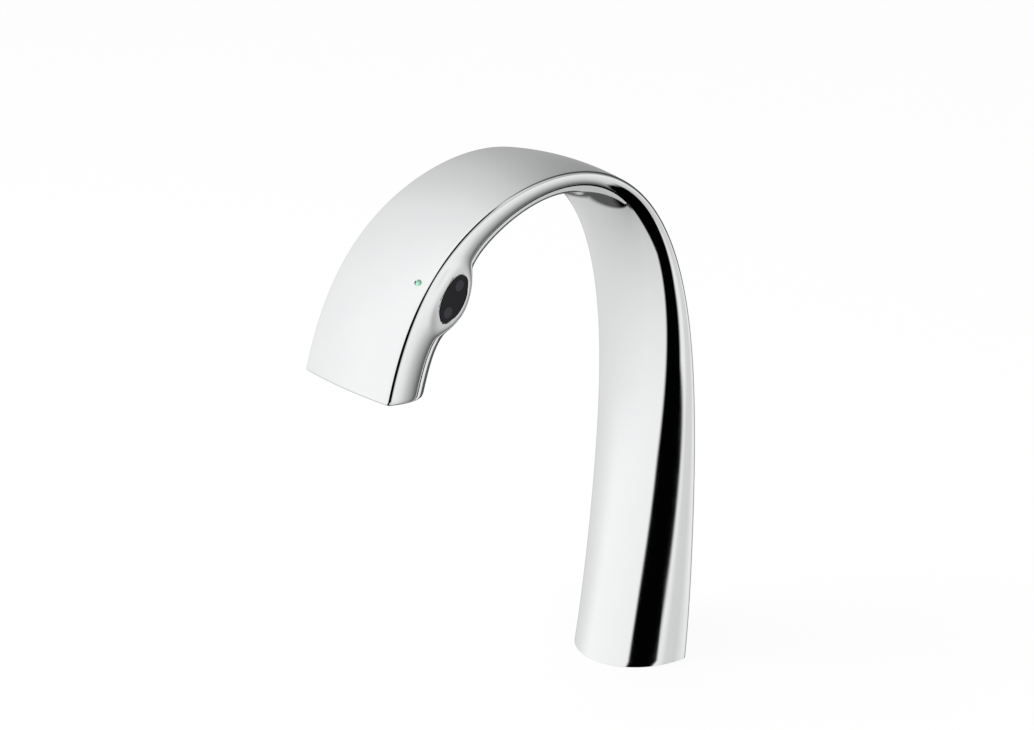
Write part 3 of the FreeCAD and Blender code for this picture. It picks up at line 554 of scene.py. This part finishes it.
def threadTree():
    tree = bpy.data.node_groups.new("screwThread", "GeometryNodeTree")
    for label in ("Radius", "Depth", "Pitch", "Bore", "Low", "High"):
        tree.interface.new_socket(label, in_out="INPUT", socket_type="NodeSocketFloat")
    for label in ("Around", "Rows"):
        tree.interface.new_socket(label, in_out="INPUT", socket_type="NodeSocketInt")
    tree.interface.new_socket("Metal", in_out="INPUT", socket_type="NodeSocketMaterial")
    tree.interface.new_socket("Mesh", in_out="OUTPUT", socket_type="NodeSocketGeometry")
    given = addNode(tree, "NodeGroupInput").outputs
    columns = addNode(tree, "ShaderNodeMath", {0: given["Around"], 1: 1.0}, operation="ADD")
    rows = addNode(tree, "ShaderNodeMath", {0: given["Rows"], 1: 3.0}, operation="ADD")
    lastRow = addNode(tree, "ShaderNodeMath", {0: given["Rows"], 1: 2.0}, operation="ADD")
    sheet = addNode(tree, "GeometryNodeMeshGrid", {"Size X": 1.0, "Size Y": 1.0, "Vertices X": columns.outputs[0],
                                                   "Vertices Y": rows.outputs[0]})
    place = addNode(tree, "GeometryNodeInputPosition")
    share = addNode(tree, "ShaderNodeSeparateXYZ", {0: place.outputs[0]})
    turn = addNode(tree, "ShaderNodeMapRange", {"Value": share.outputs[0], "From Min": -0.5, "From Max": 0.5,
                                                "To Min": 0.0, "To Max": 2 * math.pi})
    row = addNode(tree, "ShaderNodeMapRange", {"Value": share.outputs[1], "From Min": -0.5, "From Max": 0.5,
                                               "To Min": 0.0, "To Max": lastRow.outputs[0]})
    # rows 1 to Rows run down the outside, and the others close the end faces and the bore
    fall = addNode(tree, "ShaderNodeMapRange",
                   {"Value": row.outputs[0], "From Min": 1.0, "From Max": given["Rows"],
                    "To Min": given["High"], "To Max": given["Low"]})
    closing = addNode(tree, "ShaderNodeMath", {0: lastRow.outputs[0], 1: row.outputs[0]}, operation="SUBTRACT")
    isClosing = addNode(tree, "ShaderNodeMath", {0: closing.outputs[0], 1: 0.5}, operation="LESS_THAN")
    level = addNode(tree, "ShaderNodeMix", {"Factor": isClosing.outputs[0], 2: fall.outputs[0], 3: given["High"]},
                    data_type="FLOAT")
    afterFirst = addNode(tree, "ShaderNodeMath", {0: row.outputs[0], 1: 0.5}, operation="GREATER_THAN")
    beforeLast = addNode(tree, "ShaderNodeMath", {0: closing.outputs[0], 1: 1.5}, operation="GREATER_THAN")
    isOuter = addNode(tree, "ShaderNodeMath", {0: afterFirst.outputs[0], 1: beforeLast.outputs[0]},
                      operation="MULTIPLY")
    pitches = addNode(tree, "ShaderNodeMath", {0: level.outputs[0], 1: given["Pitch"]}, operation="DIVIDE")
    wound = addNode(tree, "ShaderNodeMath", {0: pitches.outputs[0], 1: -2 * math.pi, 2: turn.outputs[0]},
                    operation="MULTIPLY_ADD")
    wave = addNode(tree, "ShaderNodeMath", {0: wound.outputs[0]}, operation="COSINE")
    crest = addNode(tree, "ShaderNodeMapRange", {"Value": wave.outputs[0], "From Min": -1.0, "From Max": 1.0})
    # the crests fade over the first and last pitch
    fromLow = addNode(tree, "ShaderNodeMath", {0: level.outputs[0], 1: given["Low"]}, operation="SUBTRACT")
    fromHigh = addNode(tree, "ShaderNodeMath", {0: given["High"], 1: level.outputs[0]}, operation="SUBTRACT")
    nearest = addNode(tree, "ShaderNodeMath", {0: fromLow.outputs[0], 1: fromHigh.outputs[0]},
                      operation="MINIMUM")
    runOut = addNode(tree, "ShaderNodeMath", {0: nearest.outputs[0], 1: given["Pitch"]},
                     operation="DIVIDE", use_clamp=True)
    stands = addNode(tree, "ShaderNodeMath", {0: crest.outputs[0], 1: runOut.outputs[0]}, operation="MULTIPLY")
    root = addNode(tree, "ShaderNodeMath", {0: given["Radius"], 1: given["Depth"]}, operation="SUBTRACT")
    cut = addNode(tree, "ShaderNodeMath", {0: stands.outputs[0], 1: given["Depth"], 2: root.outputs[0]},
                  operation="MULTIPLY_ADD")
    radius = addNode(tree, "ShaderNodeMix", {"Factor": isOuter.outputs[0], 2: given["Bore"], 3: cut.outputs[0]},
                     data_type="FLOAT")
    cosine = addNode(tree, "ShaderNodeMath", {0: turn.outputs[0]}, operation="COSINE")
    sine = addNode(tree, "ShaderNodeMath", {0: turn.outputs[0]}, operation="SINE")
    x = addNode(tree, "ShaderNodeMath", {0: radius.outputs[0], 1: cosine.outputs[0]}, operation="MULTIPLY")
    y = addNode(tree, "ShaderNodeMath", {0: radius.outputs[0], 1: sine.outputs[0]}, operation="MULTIPLY")
    spot = addNode(tree, "ShaderNodeCombineXYZ", {0: x.outputs[0], 1: y.outputs[0], 2: level.outputs[0]})
    rolled = addNode(tree, "GeometryNodeSetPosition", {"Geometry": sheet.outputs[0], "Position": spot.outputs[0]})
    welded = addNode(tree, "GeometryNodeMergeByDistance",
                     {"Geometry": rolled.outputs[0], "Distance": threadWeld})
    real = addNode(tree, "GeometryNodeRealizeInstances", {"Geometry": welded.outputs[0]})
    dressed = addNode(tree, "GeometryNodeSetMaterial", {"Geometry": real.outputs[0], "Material": given["Metal"]})
    addNode(tree, "NodeGroupOutput", {0: dressed.outputs[0]})
    return tree


def makeThread(name, tree, values):
    piece = bpy.data.objects.new(name, bpy.data.meshes.new(name))
    bpy.context.scene.collection.objects.link(piece)
    modifier = piece.modifiers.new("thread", "NODES")
    modifier.node_group = tree
    for socket in tree.interface.items_tree:
        if socket.in_out == "INPUT" and socket.name in values:
            value = values[socket.name]
            modifier[socket.identifier] = value if socket.name in ("Around", "Rows") else value * mm
        elif socket.name == "Metal":
            modifier[socket.identifier] = finishes[values["finish"]]
    rolled = bpy.data.meshes.new_from_object(piece.evaluated_get(bpy.context.evaluated_depsgraph_get()))
    bpy.data.objects.remove(piece)
    mesh = bmesh.new()
    mesh.from_mesh(rolled)
    mesh.transform(Matrix.Translation(Vector((*values["axis"], 0)) * mm))
    return toObject(mesh, name, finishes[values["finish"]])


tree = threadTree()
for name, values in threads.items():
    thread = makeThread(name, tree, values)
    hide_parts(values["replaces"])
    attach(thread, "tap")
    print(name, "done:", len(thread.data.polygons), "faces")

# studio: a white tent over a white table, with one black flag beside the camera for the chrome to mirror

studio = {
    # lamps in metres and watts
    "lamps": {"keyLight": {"place": (-0.6, -1.1, 1.4), "size": 0.9, "power": 9.0},
              "fillLight": {"place": (1.2, -0.5, 0.9), "size": 1.1, "power": 4.0}},
    "lampTarget": (0, -0.05, 0.12), "tentLight": 0.9,
    "tableSize": 6.0, "tableDropMm": 0.3, "tableShare": 0.88, "paper": "#f4f4f4",
    # heights between which the table gives way to the tent, and the half widths of the soft borders, in degrees
    "horizon": (-17, -10), "flagGrey": 0.0005, "leftSoft": 4, "rightSoft": 7, "rearSoft": 4,
}

# bearing in degrees from the front towards the window's side, and the grey of the tent or the table there
greyByBearing = {
    "tent": {"rear": (-175, 0.03), "rearEdge": (-155, 0.08), "rearCorner": (-140, 0.27),
             "rearLeft": (-117, 0.60), "left": (-95, 0.79), "front": (-45, 0.97), "right": (100, 0.85),
             "sideRight": (120, 0.65), "rearRight": (150, 0.08), "behind": (175, 0.03)},
    "table": {"rear": (-180, 0.11), "rearLeft": (-124, 0.73), "left": (-105, 0.81), "leftFront": (-60, 0.87),
              "front": (-15, 0.97), "right": (90, 1.0), "wall": (96, 0.96), "dip": (104, 0.76),
              "dipEnd": (118, 0.75), "side": (130, 1.0), "sideRear": (139, 0.90), "rearRight": (149, 0.64),
              "behindRight": (160, 0.42), "behind": (173, 0.16)},
}

# height in degrees, and the share of the table's light, or the grey of the dark room behind the column
greyByHeight = {
    "below": {"straightDown": (-85, 0.045), "steep": (-81, 0.51), "sloping": (-40, 0.755), "level": (-15, 0.93)},
    "rearGrey": {"straightDown": (-72, 0.001), "low": (-62, 0.09)},
}

# height in degrees, and the bearing of a border there: the black flag leans at the foot and widens under the arch
borderByHeight = {
    "flagLeft": {"straightDown": (-86, -2), "low": (-50, 27), "column": (-14, 25.5), "foot": (-8, 42)},
    "flagRight": {"straightDown": (-80, 180), "low": (-72, 168), "underArch": (-57, 132), "arch": (-46, 124),
                  "neck": (-40, 92), "upper": (-30, 78), "base": (-22, 77), "column": (-18.5, 102),
                  "top": (-16, 106)},
    "rearBorder": {"straightDown": (-84, -75), "arch": (-58, -101), "spoutSide": (-35, -124)},
}


def makeWorld():
    world = bpy.data.worlds.new("whiteTent")
    bpy.context.scene.world = world
    world.use_nodes = True
    tree = world.node_tree
    tree.nodes.clear()
    way = addNode(tree, "ShaderNodeTexCoord")
    parts = addNode(tree, "ShaderNodeSeparateXYZ", {0: way.outputs["Generated"]})
    front = addNode(tree, "ShaderNodeMath", {0: parts.outputs[1], 1: -1.0}, operation="MULTIPLY")
    turn = addNode(tree, "ShaderNodeMath", {0: parts.outputs[0], 1: front.outputs[0]}, operation="ARCTAN2")
    rise = addNode(tree, "ShaderNodeMath", {0: parts.outputs[2]}, operation="ARCSINE")
    bearing = addNode(tree, "ShaderNodeMath", {0: turn.outputs[0]}, operation="DEGREES").outputs[0]
    height = addNode(tree, "ShaderNodeMath", {0: rise.outputs[0]}, operation="DEGREES").outputs[0]
    # each set of stops becomes a ramp, and a border's bearing is held in it as a share of a full turn
    level = {}
    for stopSets, angle, least, most in ((greyByBearing, bearing, -180, 180), (greyByHeight, height, -90, 0),
                                         (borderByHeight, height, -90, 0)):
        isBorder = stopSets is borderByHeight
        for name, stops in stopSets.items():
            share = addNode(tree, "ShaderNodeMapRange", {"Value": angle, "From Min": least, "From Max": most})
            ramp = addNode(tree, "ShaderNodeValToRGB", {0: share.outputs[0]})
            for i, (place, value) in enumerate(sorted(stops.values())):
                spot = (place - least) / (most - least)
                stop = ramp.color_ramp.elements[i] if i < 2 else ramp.color_ramp.elements.new(spot)
                stop.position = spot
                stop.color = ((value / 360 + 0.5) if isBorder else value,) * 3 + (1,)
            level[name] = ramp.outputs[0]
            if isBorder:
                degrees = addNode(tree, "ShaderNodeMapRange", {"Value": ramp.outputs[0], "To Min": -180.0,
                                                               "To Max": 180.0})
                level[name] = degrees.outputs[0]
    lowLight = addNode(tree, "ShaderNodeMix", {"Factor": 1.0, 6: level["table"], 7: level["below"]},
                       data_type="RGBA", blend_type="MULTIPLY")
    pastRear = addNode(tree, "ShaderNodeMath", {0: level["rearBorder"], 1: bearing}, operation="SUBTRACT")
    atRear = addNode(tree, "ShaderNodeMapRange", {"Value": pastRear.outputs[0], "From Min": -studio["rearSoft"],
                                                  "From Max": studio["rearSoft"]}, interpolation_type="SMOOTHSTEP")
    lowRoom = addNode(tree, "ShaderNodeMix", {"Factor": atRear.outputs[0], 6: lowLight.outputs[2],
                                              7: level["rearGrey"]}, data_type="RGBA")
    above = addNode(tree, "ShaderNodeMapRange",
                    {"Value": height, "From Min": studio["horizon"][0], "From Max": studio["horizon"][1]},
                    interpolation_type="SMOOTHSTEP")
    room = addNode(tree, "ShaderNodeMix", {"Factor": above.outputs[0], 6: lowRoom.outputs[2], 7: level["tent"]},
                   data_type="RGBA")
    pastLeft = addNode(tree, "ShaderNodeMath", {0: bearing, 1: level["flagLeft"]}, operation="SUBTRACT")
    pastRight = addNode(tree, "ShaderNodeMath", {0: level["flagRight"], 1: bearing}, operation="SUBTRACT")
    inLeft = addNode(tree, "ShaderNodeMapRange",
                     {"Value": pastLeft.outputs[0], "From Min": -studio["leftSoft"],
                      "From Max": studio["leftSoft"]}, interpolation_type="SMOOTHSTEP")
    inRight = addNode(tree, "ShaderNodeMapRange",
                      {"Value": pastRight.outputs[0], "From Min": -studio["rightSoft"],
                       "From Max": studio["rightSoft"]}, interpolation_type="SMOOTHSTEP")
    flag = addNode(tree, "ShaderNodeMath", {0: inLeft.outputs[0], 1: inRight.outputs[0]}, operation="MULTIPLY")
    black = (studio["flagGrey"],) * 3 + (1,)
    mirrored = addNode(tree, "ShaderNodeMix", {"Factor": flag.outputs[0], 6: room.outputs[2], 7: black},
                       data_type="RGBA")
    # only what mirrors sees the studio's picture; the camera sees white, and the rest is lit evenly
    glossyRoom = addNode(tree, "ShaderNodeBackground", {"Color": mirrored.outputs[2], "Strength": 1.0})
    plainLight = addNode(tree, "ShaderNodeBackground", {"Color": (1, 1, 1, 1), "Strength": studio["tentLight"]})
    white = addNode(tree, "ShaderNodeBackground", {"Color": (1, 1, 1, 1), "Strength": 1.0})
    ray = addNode(tree, "ShaderNodeLightPath")
    lit = addNode(tree, "ShaderNodeMixShader", {0: ray.outputs["Is Glossy Ray"], 1: plainLight.outputs[0],
                                                2: glossyRoom.outputs[0]})
    seen = addNode(tree, "ShaderNodeMath",
                   {0: ray.outputs["Is Camera Ray"], 1: ray.outputs["Is Transmission Ray"]}, operation="MAXIMUM")
    shown = addNode(tree, "ShaderNodeMixShader", {0: seen.outputs[0], 1: lit.outputs[0], 2: white.outputs[0]})
    addNode(tree, "ShaderNodeOutputWorld", {0: shown.outputs[0]})


def makeTable():
    mesh = bmesh.new()
    half = studio["tableSize"]
    corners = ((-half, -half), (half, -half), (half, half), (-half, half))
    mesh.faces.new([mesh.verts.new((x, y, -studio["tableDropMm"] * mm)) for x, y in corners])
    data = bpy.data.meshes.new("table")
    mesh.to_mesh(data)
    mesh.free()
    table = bpy.data.objects.new("table", data)
    bpy.context.scene.collection.objects.link(table)
    # matt white paper that the camera sees almost pure white, with a soft shadow left on it
    material = bpy.data.materials.new("whitePaperSweep")
    material.use_nodes = True
    tree = material.node_tree
    tree.nodes.clear()
    paper = addNode(tree, "ShaderNodeBsdfDiffuse", {"Color": srgb(studio["paper"])})
    glow = addNode(tree, "ShaderNodeEmission", {"Color": (1, 1, 1, 1), "Strength": 1.0})
    ray = addNode(tree, "ShaderNodeLightPath")
    share = addNode(tree, "ShaderNodeMath", {0: ray.outputs["Is Camera Ray"], 1: studio["tableShare"]},
                    operation="MULTIPLY")
    mix = addNode(tree, "ShaderNodeMixShader", {0: share.outputs[0], 1: paper.outputs[0], 2: glow.outputs[0]})
    addNode(tree, "ShaderNodeOutputMaterial", {0: mix.outputs[0]})
    data.materials.append(material)
    table.visible_glossy = False  # the chrome mirrors the tent's own table, which is part of the world


def makeLamp(name, place, size, power):
    data = bpy.data.lights.new(name, "AREA")
    data.shape = "DISK"
    data.size = size
    data.energy = power
    lamp = bpy.data.objects.new(name, data)
    lamp.location = place
    aim = Vector(studio["lampTarget"]) - Vector(place)
    lamp.rotation_euler = aim.to_track_quat("-Z", "Y").to_euler()
    lamp.visible_glossy = False
    lamp.visible_camera = False
    bpy.context.scene.collection.objects.link(lamp)


makeTable()
for name, lamp in studio["lamps"].items():
    makeLamp(name, **lamp)
makeWorld()

# camera at the photograph's angle, in degrees and mm; the photograph is 1034 pixels wide
shot = {"azimuth": 51.42, "elevation": 19.10, "roll": -0.438, "distance": 1153.9,
        "target": (0, -65.55, 168.32), "focalPixels": 2420, "imageWidth": 1034, "sensor": 36.0,
        "clipEnd": 50.0}


def makeCamera():
    a, e, roll = (math.radians(shot[k]) for k in ("azimuth", "elevation", "roll"))
    back = Vector((math.sin(a) * math.cos(e), -math.cos(a) * math.cos(e), math.sin(e)))
    right = Vector((math.cos(a), math.sin(a), 0))
    up = back.cross(right)
    right, up = math.cos(roll) * right + math.sin(roll) * up, math.cos(roll) * up - math.sin(roll) * right
    data = bpy.data.cameras.new("photoCamera")
    data.sensor_width = shot["sensor"]
    data.sensor_fit = "HORIZONTAL"
    data.lens = shot["focalPixels"] / shot["imageWidth"] * shot["sensor"]
    data.clip_end = shot["clipEnd"]
    camera = bpy.data.objects.new("photoCamera", data)
    camera.matrix_world = Matrix((right, up, back)).transposed().to_4x4()
    camera.location = (Vector(shot["target"]) + back * shot["distance"]) * mm
    bpy.context.scene.collection.objects.link(camera)
    bpy.context.scene.camera = camera


makeCamera()
bpy.context.scene.view_settings.view_transform = "Standard"
print("studio and camera ready")
